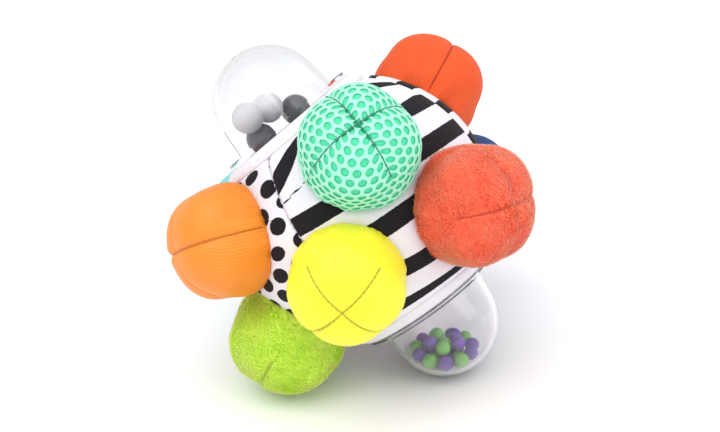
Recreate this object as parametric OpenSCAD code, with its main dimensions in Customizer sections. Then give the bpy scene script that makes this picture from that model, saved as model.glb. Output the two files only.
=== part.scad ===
// Sensory ball: a stuffed cloth ball with ten stuffed cloth bumps and a clear rattle dome at each pole.
// Lengths are in millimetres and angles in degrees. The ball stands on its lower dome and two bumps.
// Places on the ball are a latitude, counted towards the upper dome, and a longitude from the mint bump.

/* [Ball] */
// Radius of the cover's outside
ball_r = 53; // [45:0.5:65]
// Thickness of the cover's cloth
cover_t = 1.2; // [0.8:0.1:2.4]
// Turn of the standing ball about the vertical
heading = 153; // [0:0.5:360]

/* [Bumps] */
// Radius of a bump at its widest
bump_r = 22.4; // [16:0.2:24]
// Height of a bump's crown above its seam
bump_h = 31; // [26:0.5:44]
// Height of a bump's widest ring above its seam
belt_rise = 8; // [5:0.2:12]
// Radius of the four lobes between a bump's darts
lobe_r = 18; // [12:0.2:20]
// Radius of a bump's neck, where it is sewn into the cover
neck_r = 19; // [14:0.2:20]
// Depth of the neck's turned-in seam below the cover
seam_depth = 2.4; // [1.5:0.1:4]
// Thickness of a bump's cloth
bump_t = 1.2; // [0.8:0.1:2.4]
// Latitude of the two bumps that the ball stands on
foot_lat = -23.5; // [-30:0.5:-18]
// Half of the longitude between the two bumps that the ball stands on
foot_spread = 39; // [30:0.5:42]
// Longitude midway between the two bumps that the ball stands on
foot_lon = 221.5; // [210:0.5:230]
// Turn of the darts of the two bumps that the ball stands on
foot_turn = 6; // [-15:1:15]
// Depth by which the standing bumps are pressed flat
foot_cut = 0.5; // [0.3:0.1:1]

/* [Rattle domes] */
// Outer radius of the clear flange
flange_r = 29.4; // [26:0.2:33]
// Thickness of the dome's flange
flange_t = 1.2; // [0.8:0.1:2]
// Outer radius of the dome where it leaves its flange
dome_r = 23.6; // [20:0.2:25]
// Radius of the dome's round crown
crown_r = 22.4; // [18:0.2:23]
// Height of the dome above its flange
dome_h = 32; // [28:0.5:38]
// Wall of the dome
dome_wall = 1.8; // [1:0.1:2.5]
// Thickness of the clear disc that closes the dome
disc_t = 1.2; // [0.8:0.1:2]
// Depth of the dish in that disc, below its rim
dish_depth = 5; // [3:0.2:5.4]
// Width of the white strip that shows round the flange
strip_w = 5; // [3:0.2:7]
// Thickness of the white strip
strip_t = 1.2; // [0.8:0.1:2]
// Rise of the flange's seat above the strip's outer edge
seat_rise = 3.9; // [2:0.1:6]
// Width of the strip's lip under the flange
lip_w = 5.4; // [4:0.1:8]
// Thickness of the ring that clamps the lip from inside
ring_t = 3.4; // [2:0.1:5]
// Number of pegs from the disc through the lip into the ring
peg_count = 6; // [4:1:10]
// Radius of a peg
peg_r = 1.2; // [0.8:0.1:1.6]

/* [Rattle pieces] */
// Radius of the balls in the upper dome
rattle_ball_r = 6.2; // [5:0.1:7]
// Radius of the beads in the lower dome
bead_r = 3; // [2.4:0.1:3.6]

/* [Clearances] */
// Gap between sewn or stuffed pieces
seam_gap = 0.3; // [0.2:0.05:0.5]
// Gap round a loose ball or bead
loose_gap = 0.3; // [0.2:0.05:0.5]
// Gap round a peg
peg_gap = 0.15; // [0.1:0.05:0.3]

/* [Hidden] */
$fn = 96;
overrun = ball_r;
// Longitude where each of the four cover panels begins
panel_starts = [-41, 57, 150, 240];

// Each row holds a bump's latitude, longitude and turn about its own axis
mint_place = [22, 0, 87];
red_place = [22, 98, 80];
violet_place = [20, 151, 5];
turquoise_place = [21, 205, 84];
orange_place = [22.5, 282, 89];
coral_place = [-20, 24, 74];
blue_place = [-20, 120, 8];
pink_place = [foot_lat, foot_lon - foot_spread, -foot_turn];
lime_place = [foot_lat, foot_lon + foot_spread, foot_turn];
yellow_place = [-15.5, 325.5, 7];
bump_places = [
    mint_place, red_place, violet_place, turquoise_place, orange_place,
    coral_place, blue_place, pink_place, lime_place, yellow_place
];
upper_place = [86, 270, 0];
lower_place = [-90, 0, 0];

// Heights of a bump's parts above the ball's centre, along the bump's axis
hole_r = neck_r + seam_gap;
base_h = sqrt(pow(ball_r, 2) - pow(hole_r, 2));
belt_h = base_h + belt_rise;
lobe_h = base_h + bump_h - lobe_r;
lobe_offset = bump_r - lobe_r;
foot_h = base_h - seam_depth;
core_r = ball_r - cover_t - seam_gap;

// Heights of a rattle's parts above the ball's centre, along the dome's axis
strip_r = flange_r + strip_w;
strip_bend_r = flange_r + seam_gap;
lip_r = flange_r - lip_w;
rim_h = sqrt(pow(ball_r, 2) - pow(strip_r, 2));
seat_h = rim_h + seat_rise;
disc_h = seat_h + disc_t;
flange_h = disc_h + flange_t;
crown_h = flange_h + dome_h - crown_r;
ring_h = seat_h - strip_t - seam_gap - ring_t;
dish_h = seat_h - dish_depth;
floor_h = dish_h + disc_t;
dish_r = lip_r - seam_gap;
core_flat_h = min(ring_h, rim_h - strip_t, dish_h) - seam_gap;
peg_circle_r = flange_r - lip_w / 2;

// The dome's wall leans in so that it meets the round crown without an edge
wall_rise = crown_h - flange_h;
wall_lean = acos(crown_r / norm([dome_r, wall_rise])) - atan2(wall_rise, dome_r);

// Direction of a place, and of the two axes square to it, towards the lower pole and eastwards
function out(p) = [cos(p[0]) * cos(p[1]), cos(p[0]) * sin(p[1]), sin(p[0])];
function south(p) = [sin(p[0]) * cos(p[1]), sin(p[0]) * sin(p[1]), -cos(p[0])];
function east(p) = [-sin(p[1]), cos(p[1]), 0];
function down(t) = [sin(t) * cos(foot_lon), sin(t) * sin(foot_lon), -cos(t)];

// How far a bump and the lower dome reach below the ball's centre when the ball is tilted by t
lobe_turns = [45, 135, 225, 315];
function lobe_lean(p, n) = max([
    for (a = lobe_turns) cos(p[2] + a) * (south(p) * n) + sin(p[2] + a) * (east(p) * n)
]);
function bump_reach(p, n) = lobe_h * (out(p) * n) + lobe_offset * lobe_lean(p, n) + lobe_r;
function dome_reach(t) = crown_h * cos(t) + crown_r;
function reach_gap(t) = bump_reach(lime_place, down(t)) - dome_reach(t) - foot_cut;
function find_tilt(low, high, steps) = steps == 0
    ? (low + high) / 2
    : reach_gap((low + high) / 2) < 0
        ? find_tilt((low + high) / 2, high, steps - 1)
        : find_tilt(low, (low + high) / 2, steps - 1);
tilt = find_tilt(5, 75, 40);
centre_h = dome_reach(tilt);

// How far the standing ball reaches from its centre in a level direction, to centre its box on the origin
function level(a) = let (x = cos(a - heading) * cos(tilt), y = sin(a - heading)) [
    x * cos(foot_lon) - y * sin(foot_lon),
    x * sin(foot_lon) + y * cos(foot_lon),
    cos(a - heading) * sin(tilt)
];
function crown_side(p, n) = crown_h * (out(p) * n) + crown_r;
function flange_side(p, n) = seat_h * (out(p) * n) + flange_r * norm(cross(out(p), n));
function side(a) = max(concat(
    [for (p = bump_places) bump_reach(p, level(a))],
    [for (p = [upper_place, lower_place]) max(crown_side(p, level(a)), flange_side(p, level(a)))]
));
centre_x = (side(180) - side(0)) / 2;
centre_y = (side(270) - side(90)) / 2;

// The two dark balls lie on the floor of the upper dish and the two white ones lie on them. Each row holds
// a ball's place from the middle of that layer, as shares of the distance between two balls that touch
ball_pitch = 2 * rattle_ball_r + loose_gap;
ball_rest_h = floor_h + rattle_ball_r + loose_gap;
dark_a_share = [-0.655, -0.739, 0];
dark_b_share = [0.881, -0.526, 0];
white_a_share = [0.911, 0.132, 0.763];
white_b_share = [0.085, -0.438, 0.616];

// The beads lie heaped in the lowest part of the lower dome's crown, in rings about the plumb line
bead_pitch = 2 * bead_r + loose_gap;
bead_bowl_r = crown_r - dome_wall - bead_r - loose_gap;
bead_heap_r = bead_bowl_r - bead_pitch;
function ring_angle(r, n) = asin(bead_pitch / (2 * r * sin(180 / n)));
function ring_fit(r, a) = floor(180 / asin(bead_pitch / (2 * r * sin(a))));
near_angle = ring_angle(bead_bowl_r, 6);
far_angle = near_angle + 2 * asin(bead_pitch / (2 * bead_bowl_r));
far_count = ring_fit(bead_bowl_r, far_angle);
heap_angle = max(ring_angle(bead_heap_r, 5), 2 * asin(bead_pitch / (2 * bead_heap_r)));
// Each row holds a ring's radius from the crown's centre, its angle from the plumb line and its count
bead_rings = [
    [bead_bowl_r, 0, 1],
    [bead_bowl_r, near_angle, 6],
    [bead_bowl_r, far_angle, far_count],
    [bead_heap_r, 0, 1],
    [bead_heap_r, heap_angle, 5]
];

// Stands the ball, whose dome axis is upright, on its lower dome and its two foot bumps
module stand() {
    translate([centre_x, centre_y, centre_h])
        rotate([0, 0, heading])
            rotate([0, tilt, 0])
                rotate([0, 0, -foot_lon])
                    children();
}

// Puts what is drawn along the Z axis at a place on the ball
module at_place(p) {
    rotate([0, 0, p[1]])
        rotate([0, 90 - p[0], 0])
            rotate([0, 0, p[2]])
                children();
}

// A bump's outer form drawn in by an inset: a neck, a belt and four lobes that leave darts between them
module bump_form(inset, foot) {
    translate([0, 0, foot])
        cylinder(r = neck_r - inset, h = belt_h - foot);
    intersection() {
        union() {
            translate([0, 0, belt_h])
                sphere(r = bump_r - inset);
            for (a = lobe_turns)
                rotate([0, 0, a])
                    translate([lobe_offset, 0, lobe_h])
                        sphere(r = lobe_r - inset);
        }
        translate([0, 0, base_h + seam_gap + inset])
            cylinder(r = 2 * bump_r, h = 2 * bump_r);
    }
}

// The cloth of a bump, open at the foot of its neck
module bump_cover(p) {
    stand()
        at_place(p)
            difference() {
                bump_form(0, foot_h);
                bump_form(bump_t, foot_h - overrun);
            }
}

// The stuffing of a bump, down to the foot of its neck
module bump_filling(p) {
    stand()
        at_place(p)
            bump_form(bump_t + seam_gap, foot_h);
}

// Presses a standing bump flat on the surface below it
module pressed_flat() {
    difference() {
        children();
        translate([-2 * overrun, -2 * overrun, -overrun])
            cube([4 * overrun, 4 * overrun, overrun]);
    }
}

// The room that a bump's neck takes in the cover or in the stuffing
module neck_room(p, floor_h) {
    at_place(p)
        translate([0, 0, floor_h])
            cylinder(r = hole_r, h = 2 * overrun);
}

// Everything on one side of a seam's plane, eastwards or westwards of it
module beside_seam(longitude, side_y) {
    rotate([0, 0, longitude])
        translate([-2 * overrun, side_y, -2 * overrun])
            cube(4 * overrun);
}

// One panel of the cover, from its first seam to the next
module cover_panel(index) {
    first = panel_starts[index];
    next = index < len(panel_starts) - 1 ? panel_starts[index + 1] : panel_starts[0] + 360;
    stand()
        difference() {
            intersection() {
                rotate([0, 0, (first + next) / 2 + 180])
                    difference() {
                        sphere(r = ball_r);
                        sphere(r = ball_r - cover_t);
                    }
                beside_seam(first, seam_gap / 2);
                beside_seam(next, -4 * overrun - seam_gap / 2);
            }
            for (p = bump_places)
                neck_room(p, 0);
            for (p = [upper_place, lower_place])
                at_place(p)
                    cylinder(r = strip_r + seam_gap, h = 2 * overrun);
        }
}

// The white strip round a flange: a lip under it and a skirt down to the cover
module strip(p) {
    stand()
        at_place(p)
            difference() {
                rotate_extrude()
                    polygon([
                        [lip_r, seat_h - strip_t], [strip_bend_r, seat_h - strip_t], [strip_r, rim_h - strip_t],
                        [strip_r, rim_h], [strip_bend_r, seat_h], [lip_r, seat_h]
                    ]);
                pegs(peg_r + peg_gap, ring_h, overrun);
            }
}

// A circle of pegs from a foot, as high as they are long
module pegs(r, foot, length) {
    for (i = [0 : peg_count - 1])
        rotate([0, 0, i * 360 / peg_count])
            translate([peg_circle_r, 0, foot])
                cylinder(r = r, h = length);
}

// The ring inside the cover that clamps the strip's lip against the disc
module clamp_ring(p) {
    stand()
        at_place(p)
            difference() {
                translate([0, 0, ring_h])
                    cylinder(r = flange_r, h = ring_t);
                translate([0, 0, ring_h - overrun])
                    cylinder(r = lip_r, h = 2 * overrun);
                pegs(peg_r + peg_gap, ring_h - overrun, 2 * overrun);
            }
}

// The clear disc that closes a dome: a dish that hangs in the ring, with pegs below its rim
module closing_disc(p) {
    stand()
        at_place(p) {
            rotate_extrude()
                polygon([
                    [0, dish_h], [dish_r, dish_h], [dish_r, seat_h], [flange_r, seat_h], [flange_r, disc_h],
                    [dish_r - disc_t, disc_h], [dish_r - disc_t, floor_h], [0, floor_h]
                ]);
            pegs(peg_r, ring_h, disc_h - ring_h);
        }
}

// Half of the dome's section drawn in by an inset: a leaning wall that runs into a round crown
module dome_half(inset) {
    r = crown_r - inset;
    wall_top = [r * cos(wall_lean), crown_h + r * sin(wall_lean)];
    foot_x = wall_top[0] + (wall_top[1] - disc_h) * tan(wall_lean);
    intersection() {
        union() {
            translate([0, crown_h])
                circle(r = r);
            polygon([[0, disc_h], [foot_x, disc_h], wall_top, [0, wall_top[1]]]);
        }
        translate([0, disc_h])
            square([2 * dome_r, overrun]);
    }
}

// The clear dome with its flange
module dome(p) {
    stand()
        at_place(p)
            rotate_extrude()
                difference() {
                    union() {
                        dome_half(0);
                        translate([0, disc_h])
                            square([flange_r, flange_t]);
                    }
                    dome_half(dome_wall);
                }
}

// One of the balls in the upper dome, at its share of the balls' pitch
module rattle_ball(share) {
    stand()
        at_place(upper_place)
            translate([0, 0, ball_rest_h])
                translate(ball_pitch * share)
                    sphere(r = rattle_ball_r);
}

// Every second bead of the heap in the lower dome, from the first or from the second
module beads(first) {
    stand()
        translate([0, 0, -crown_h])
            rotate([0, 0, foot_lon])
                rotate([0, 180 - tilt, 0])
                    for (k = [0 : len(bead_rings) - 1])
                        for (i = [0 : bead_rings[k][2] - 1])
                            if ((i + k) % 2 == first)
                                rotate([0, 0, i * 360 / bead_rings[k][2]])
                                    rotate([0, bead_rings[k][1], 0])
                                        translate([0, 0, bead_rings[k][0]])
                                            sphere(r = bead_r);
}

module core_filling() {
    color([0.93, 0.93, 0.91])
        stand()
            difference() {
                sphere(r = core_r);
                for (p = bump_places)
                    neck_room(p, foot_h - seam_gap);
                for (p = [upper_place, lower_place])
                    at_place(p)
                        translate([-overrun, -overrun, core_flat_h])
                            cube([2 * overrun, 2 * overrun, overrun]);
            }
}

module striped_panel_front() {
    color([0.55, 0.54, 0.56])
        cover_panel(0);
}

module striped_panel_right() {
    color([0.55, 0.54, 0.56])
        cover_panel(1);
}

module dotted_panel_back() {
    color([0.8, 0.79, 0.82])
        cover_panel(2);
}

module dotted_panel_left() {
    color([0.8, 0.79, 0.82])
        cover_panel(3);
}

module mint_bump() {
    color([0.49, 0.87, 0.73])
        bump_cover(mint_place);
}

module red_bump() {
    color([0.9, 0.32, 0.2])
        bump_cover(red_place);
}

module violet_bump() {
    color([0.47, 0.34, 0.64])
        bump_cover(violet_place);
}

module turquoise_bump() {
    color([0.45, 0.8, 0.8])
        bump_cover(turquoise_place);
}

module orange_bump() {
    color([0.96, 0.66, 0.26])
        bump_cover(orange_place);
}

module coral_bump() {
    color([0.94, 0.42, 0.29])
        bump_cover(coral_place);
}

module blue_bump() {
    color([0.07, 0.28, 0.53])
        bump_cover(blue_place);
}

module pink_bump() {
    color([0.91, 0.4, 0.6])
        pressed_flat()
            bump_cover(pink_place);
}

module lime_bump() {
    color([0.75, 0.89, 0.33])
        pressed_flat()
            bump_cover(lime_place);
}

module yellow_bump() {
    color([0.96, 0.96, 0.26])
        bump_cover(yellow_place);
}

module mint_filling() {
    color([0.93, 0.93, 0.91])
        bump_filling(mint_place);
}

module red_filling() {
    color([0.93, 0.93, 0.91])
        bump_filling(red_place);
}

module violet_filling() {
    color([0.93, 0.93, 0.91])
        bump_filling(violet_place);
}

module turquoise_filling() {
    color([0.93, 0.93, 0.91])
        bump_filling(turquoise_place);
}

module orange_filling() {
    color([0.93, 0.93, 0.91])
        bump_filling(orange_place);
}

module coral_filling() {
    color([0.93, 0.93, 0.91])
        bump_filling(coral_place);
}

module blue_filling() {
    color([0.93, 0.93, 0.91])
        bump_filling(blue_place);
}

module pink_filling() {
    color([0.93, 0.93, 0.91])
        bump_filling(pink_place);
}

module lime_filling() {
    color([0.93, 0.93, 0.91])
        bump_filling(lime_place);
}

module yellow_filling() {
    color([0.93, 0.93, 0.91])
        bump_filling(yellow_place);
}

module upper_strip() {
    color([0.91, 0.9, 0.93])
        strip(upper_place);
}

module upper_ring() {
    color([0.95, 0.95, 0.95])
        clamp_ring(upper_place);
}

module upper_disc() {
    color([0.9, 0.93, 0.95, 0.35])
        closing_disc(upper_place);
}

module upper_dome() {
    color([0.9, 0.93, 0.95, 0.35])
        dome(upper_place);
}

module lower_strip() {
    color([0.91, 0.9, 0.93])
        strip(lower_place);
}

module lower_ring() {
    color([0.95, 0.95, 0.95])
        clamp_ring(lower_place);
}

module lower_disc() {
    color([0.9, 0.93, 0.95, 0.35])
        closing_disc(lower_place);
}

module lower_dome() {
    color([0.9, 0.93, 0.95, 0.35])
        dome(lower_place);
}

module rattle_ball_white_a() {
    color([0.96, 0.96, 0.95])
        rattle_ball(white_a_share);
}

module rattle_ball_dark_a() {
    color([0.08, 0.09, 0.14])
        rattle_ball(dark_a_share);
}

module rattle_ball_white_b() {
    color([0.96, 0.96, 0.95])
        rattle_ball(white_b_share);
}

module rattle_ball_dark_b() {
    color([0.08, 0.09, 0.14])
        rattle_ball(dark_b_share);
}

module purple_beads() {
    color([0.47, 0.33, 0.65])
        beads(0);
}

module green_beads() {
    color([0.55, 0.8, 0.45])
        beads(1);
}

core_filling();
striped_panel_front();
dotted_panel_left();
striped_panel_right();
dotted_panel_back();
mint_bump();
red_bump();
violet_bump();
turquoise_bump();
orange_bump();
coral_bump();
blue_bump();
pink_bump();
lime_bump();
yellow_bump();
mint_filling();
red_filling();
violet_filling();
turquoise_filling();
orange_filling();
coral_filling();
blue_filling();
pink_filling();
lime_filling();
yellow_filling();
upper_strip();
upper_ring();
upper_disc();
upper_dome();
lower_strip();
lower_ring();
lower_disc();
lower_dome();
rattle_ball_white_a();
rattle_ball_dark_a();
rattle_ball_white_b();
rattle_ball_dark_b();
purple_beads();
green_beads();
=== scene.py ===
# %% [markdown]
# # A sensory ball, dressed for the camera
# The CAD part gives this toy its sizes, its bodies and its joints. This script dresses it: it
# stuffs the cloth bumps, prints the cover, sews the seams and gives every plastic piece its finish.
# Shapes are worked out in millimetres and turned into metres at the last step. The camera, the lights,
# the pile and the stitches are given in metres.

import math
from math import pi, tau

import bpy
import numpy as np
from mathutils import Matrix, Vector


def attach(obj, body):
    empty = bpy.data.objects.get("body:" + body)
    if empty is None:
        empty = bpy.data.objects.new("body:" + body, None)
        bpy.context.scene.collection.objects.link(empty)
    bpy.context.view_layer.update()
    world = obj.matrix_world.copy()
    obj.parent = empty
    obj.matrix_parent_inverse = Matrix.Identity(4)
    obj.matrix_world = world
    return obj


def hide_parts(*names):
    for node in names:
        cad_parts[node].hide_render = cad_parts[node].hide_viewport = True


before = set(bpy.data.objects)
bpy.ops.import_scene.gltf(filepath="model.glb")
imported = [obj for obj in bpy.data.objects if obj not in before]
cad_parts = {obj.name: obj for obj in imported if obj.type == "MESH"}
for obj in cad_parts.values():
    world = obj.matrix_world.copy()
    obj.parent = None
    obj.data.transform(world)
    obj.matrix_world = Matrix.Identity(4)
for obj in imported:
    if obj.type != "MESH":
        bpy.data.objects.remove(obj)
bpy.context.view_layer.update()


def new_object(name, data):
    """A new object in the scene."""
    made = bpy.data.objects.new(name, data)
    bpy.context.collection.objects.link(made)
    return made


# %% [markdown]
# ## One shared frame
# The cloth is easiest to think of with the dome axis upright: a place is a latitude towards the
# upper dome and a longitude from the mint bump. The real ball lies on its lower dome and on two
# bumps, so one turn and one shift carry every point from that upright ball to the frame.

# %% Sizes and places
BALL_R, COVER_T = 53.0, 0.8
# A bump: the radius of its belt and of its lobes, its height, its belt's height, and the radius of its opening
BUMP_R, LOBE_R, BUMP_H, BELT_RISE, HOLE_R = 22.4, 18.0, 31.0, 8.0, 19.3
BASE_H = math.sqrt(BALL_R**2 - HOLE_R**2)
BELT_H, LOBE_H, LOBE_OUT = BASE_H + BELT_RISE, BASE_H + BUMP_H - LOBE_R, BUMP_R - LOBE_R
# Round a dome: the radius and height of the strip's rim, the radius of its lip, and where the stuffing is flat
STRIP_R, RIM_H, LIP_R, CORE_FLAT_H = 34.4, 40.319, 24.0, 38.82

# Latitude, longitude and turn of the darts of each bump
PLACES = {
    "mint": (22, 0, 87), "red": (22, 98, 80), "violet": (20, 151, 5), "turquoise": (21, 205, 84),
    "orange": (22.5, 282, 89), "coral": (-20, 24, 74), "blue": (-20, 120, 8), "pink": (-23.5, 182.5, -6),
    "lime": (-23.5, 260.5, 6), "yellow": (-15.5, 325.5, 7),
}
DOMES = {"upper": (86, 270, 0), "lower": (-90, 0, 0)}


def turn(axis, degrees):
    return np.array(Matrix.Rotation(math.radians(degrees), 3, axis))


STANCE = turn("Z", 153.0) @ turn("Y", 37.29939) @ turn("Z", -221.5)
CENTRE = np.array((4.54708, -0.10442, 67.12127))


def at_place(place):
    """The turn that carries the Z axis to a place on the upright ball."""
    latitude, longitude, spin = place
    return turn("Z", longitude) @ turn("Y", 90 - latitude) @ turn("Z", spin)


def to_frame(points):
    """Points of the upright ball, in millimetres, as points of the frame, in metres."""
    return (np.asarray(points) @ STANCE.T + CENTRE) / 1000.0


def on_sphere(latitude, longitude):
    """Directions from the middle of the upright ball, from angles in radians."""
    flat = np.cos(latitude)
    return np.stack([flat * np.cos(longitude), flat * np.sin(longitude), np.sin(latitude)], -1)


MIDDLE = to_frame((0, 0, 0))
print("ball centre in the frame:", MIDDLE)

# %% [markdown]
# ## Camera, floor and light
# The photograph looks slightly down on the ball from about half a metre, with a long lens. The
# camera takes that place: the ball's centre is a little above the middle of the picture, so the lens is
# shifted by that little. The floor is plain and pale, and two large soft lights stand over it.

# %% Camera
ELEVATION, ROLL, DISTANCE = math.radians(23.97), math.radians(3.61), 0.536
back = Vector((0, -math.cos(ELEVATION), math.sin(ELEVATION)))
level = Vector((1, 0, 0))
up = math.cos(ROLL) * back.cross(level) + math.sin(ROLL) * level
right = up.cross(back)
camera = new_object("camera", bpy.data.cameras.new("camera"))
camera.data.sensor_width, camera.data.lens = 36.0, 66.985
camera.data.shift_x, camera.data.shift_y = -0.0015, -0.0101
turned = Matrix((right, up, back)).transposed().to_4x4()
camera.matrix_world = Matrix.Translation(Vector(MIDDLE) + back * DISTANCE) @ turned
bpy.context.scene.camera = camera
print("camera at", [round(v, 3) for v in camera.matrix_world.translation])

# %% [markdown]
# ## Small helpers for materials
# Every finish below is a tree of shader nodes. One function adds a node with its settings and its
# links, and one turns an sRGB hex colour into the linear colour that light adds up in.
# Most finishes start in the same way: a noise, measured in the piece's own millimetres, mixes two shades.

# %% Node and colour helpers
MATH, VECTORS, NOISE, MIX = "ShaderNodeMath", "ShaderNodeVectorMath", "ShaderNodeTexNoise", "ShaderNodeMix"


def add(tree, kind, inputs=None, operation=None, **settings):
    """A new node. Inputs go by name, or in order in a list: plain values, sockets, or nodes for their first output."""
    node = tree.nodes.new(kind)
    if operation:
        settings["operation"] = operation
    for key, value in settings.items():
        setattr(node, key, value)
    for key, value in enumerate(inputs) if isinstance(inputs, list) else (inputs or {}).items():
        if isinstance(value, bpy.types.Node):
            value = value.outputs[0]
        if isinstance(value, bpy.types.NodeSocket):
            tree.links.new(value, node.inputs[key])
        else:
            node.inputs[key].default_value = value
    return node


def linear(hex_colour):
    """An sRGB hex colour as linear light, with full alpha."""
    values = [int(hex_colour[i : i + 2], 16) / 255 for i in (1, 3, 5)]
    return tuple(v / 12.92 if v <= 0.04045 else ((v + 0.055) / 1.055) ** 2.4 for v in values) + (1.0,)


def blank(name):
    """A new material with an empty tree, and that tree."""
    material = bpy.data.materials.new(name)
    material.use_nodes = True
    material.node_tree.nodes.clear()
    return material, material.node_tree


def in_mm(tree):
    """A piece's own coordinates, in millimetres."""
    place = add(tree, "ShaderNodeTexCoord").outputs["Object"]
    return add(tree, VECTORS, {0: place, "Scale": 1000.0}, "SCALE")


def mottle(tree, noise, dark, light):
    """A noise over a piece, and the colour that it gives between two shades."""
    cloud = add(tree, NOISE, {"Vector": in_mm(tree), **noise})
    colour = add(tree, MIX, {"Factor": cloud, 6: linear(dark), 7: linear(light)}, data_type="RGBA")
    return cloud, colour.outputs[2]


def shade(tree, inputs, relief=None):
    """Ends a tree in one Principled shader. A relief is a height, its strength and its depth in metres."""
    if relief:
        bump = add(tree, "ShaderNodeBump", dict(zip(("Height", "Strength", "Distance"), relief)))
        inputs = {**inputs, "Normal": bump}
    shader = add(tree, "ShaderNodeBsdfPrincipled", inputs)
    add(tree, "ShaderNodeOutputMaterial", [shader])


def mottled(name, noise, dark, light, inputs, relief=None):
    """A material of two shades. A relief is the strength and the depth that their noise gets."""
    material, tree = blank(name)
    cloud, tone = mottle(tree, noise, dark, light)
    shade(tree, {"Base Color": tone, **inputs}, relief and (cloud, *relief))
    return material


# %% Floor and light
floor_paint, tree = blank("pale_studio_floor")
grain = add(tree, NOISE, {"Scale": 6.0, "Detail": 2.0})
paint = add(tree, MIX, {"Factor": grain, 6: linear("#FBFBFC"), 7: linear("#F6F6F8")}, data_type="RGBA")
shade(tree, {"Base Color": paint.outputs[2], "Roughness": 0.75, "Specular IOR Level": 0.2})
mesh = bpy.data.meshes.new("floor")
FAR = 6.0
mesh.from_pydata([(-FAR, -FAR, 0), (FAR, -FAR, 0), (FAR, FAR, 0), (-FAR, FAR, 0)], [], [(0, 1, 2, 3)])
mesh.materials.append(floor_paint)
new_object("floor", mesh)

world = bpy.data.worlds.new("studio")
world.use_nodes = True
sky = world.node_tree.nodes["Background"].inputs
sky["Color"].default_value, sky["Strength"].default_value = (1.0, 1.0, 1.0, 1.0), 0.92
bpy.context.scene.world = world
bpy.context.scene.view_settings.view_transform = "Standard"

# The lights look at a point near the middle of the ball
LIT = Vector((0, 0, 0.07))
for name, place, size, power in (
    ("key_light", (-0.3, -0.5, 1.15), 1.2, 9.0),
    ("side_light", (0.8, -0.5, 0.7), 0.9, 2.5),
):
    lamp = bpy.data.lights.new(name, "AREA")
    lamp.size, lamp.energy = size, power
    holder = new_object(name, lamp)
    holder.location = place
    holder.rotation_euler = (LIT - Vector(place)).to_track_quat("-Z", "Y").to_euler()

# %% [markdown]
# ## The form of a bump
# A real bump is a short tube of cloth, closed at its crown by four darts that cross there, and filled with
# fibre. Between the darts the cloth swells into four lobes, and along them the thread draws it in. A formula
# gives that form: in a slice at any angle round the axis a lobe is an arc, whose centre and radius follow from
# how far the slice is from the lobe's middle. Below the lobes come the straight side and the round belt, and the foot
# turns in under the cover.


# %% A bump's form
# Shares of the way from crown to foot at which the shoulder, the belt and the seam with the cover lie
SHOULDER, BELT, SEAM = 0.68, 0.784, 0.955
DART_END = 0.54


def bump_form(way, azimuth):
    """Points of a bump on its own axis. Way goes from the crown, 0, to the foot, 1; each quarter turn has a dart."""
    from_dart = np.abs((np.degrees(azimuth) + 45) % 90 - 45)
    lean = np.radians(45 - np.sqrt(from_dart**2 + 9.0) + 0.2)
    centre = LOBE_OUT * np.cos(lean)
    radius = np.sqrt(LOBE_R**2 - (LOBE_OUT * np.sin(lean)) ** 2)
    arc = np.clip(way / SHOULDER, 0, 1)
    start = -np.arcsin(centre / radius)
    angle = start + arc * (pi / 2 - start)
    reach, height = centre + radius * np.sin(angle), LOBE_H + radius * np.cos(angle)
    side = np.clip((way - SHOULDER) / (BELT - SHOULDER), 0, 1)
    reach = reach + side * side * (3 - 2 * side) * (BUMP_R - reach)
    height = np.where(way > SHOULDER, LOBE_H + side * (BELT_H - LOBE_H), height)
    below = BELT_H - np.clip((way - BELT) / (SEAM - BELT), 0, 1) * (BELT_H - BASE_H)
    reach = np.where(way > BELT, np.sqrt(BUMP_R**2 - (BELT_H - below) ** 2), reach)
    height = np.where(way > BELT, below, height)
    foot = np.clip((way - SEAM) / (1 - SEAM), 0, 1)
    reach, height = reach - foot * 2.0, height - foot * 2.2
    return np.stack([reach * np.cos(azimuth), reach * np.sin(azimuth), height], -1)


def cloth_grid(lines):
    """The way and the azimuth at each crossing of a square net of lines, drawn out to a round piece of cloth."""
    a, b = np.meshgrid(lines, lines, indexing="ij")
    x, y = a * np.sqrt(1 - b * b / 2), b * np.sqrt(1 - a * a / 2)
    return np.hypot(x, y), np.arctan2(y, x)


def grid_faces(rows, columns, first=0):
    """Faces of an open net of rows and columns of points."""
    i, j = np.meshgrid(np.arange(rows - 1), np.arange(columns - 1), indexing="ij")
    corner = (first + i * columns + j).ravel()
    return np.stack([corner, corner + columns, corner + columns + 1, corner + 1], -1)


def round_faces(rows, columns, closed):
    """Faces of a net whose rows run round; a closed one also joins its last row to its first."""
    r, c = np.meshgrid(np.arange(rows if closed else rows - 1), np.arange(columns), indexing="ij")
    up, on = (r + 1) % rows, (c + 1) % columns
    corners = [r * columns + c, r * columns + on, up * columns + on, up * columns + c]
    return np.stack(corners, -1).reshape(-1, 4).tolist()


def bell(distance, width):
    """1 at no distance, falling off smoothly over a width."""
    return np.exp(-((distance / width) ** 2))


form = bump_form(*cloth_grid(np.linspace(-1, 1, 9)))
heights = form[..., 2]
print("bump reaches from", heights.min().round(2), "to", heights.max().round(2), "mm from the ball's centre")

# %% [markdown]
# ## Stuffing the bumps
# Blender's Cloth fills them: a coarse net of each bump, a little smaller than the finished one, is held at its foot
# and along its darts, and pressure swells the cloth between them. The simulation runs on
# a copy that is fifty times as large, because Cloth is tuned for garments. Each bump has its own slight
# unevenness, from a fixed seed, so no two swell alike.

# %% Fill the bumps
SIM_LINES, SIM_SCALE, SIM_FRAMES = 41, 0.02, 20
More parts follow.
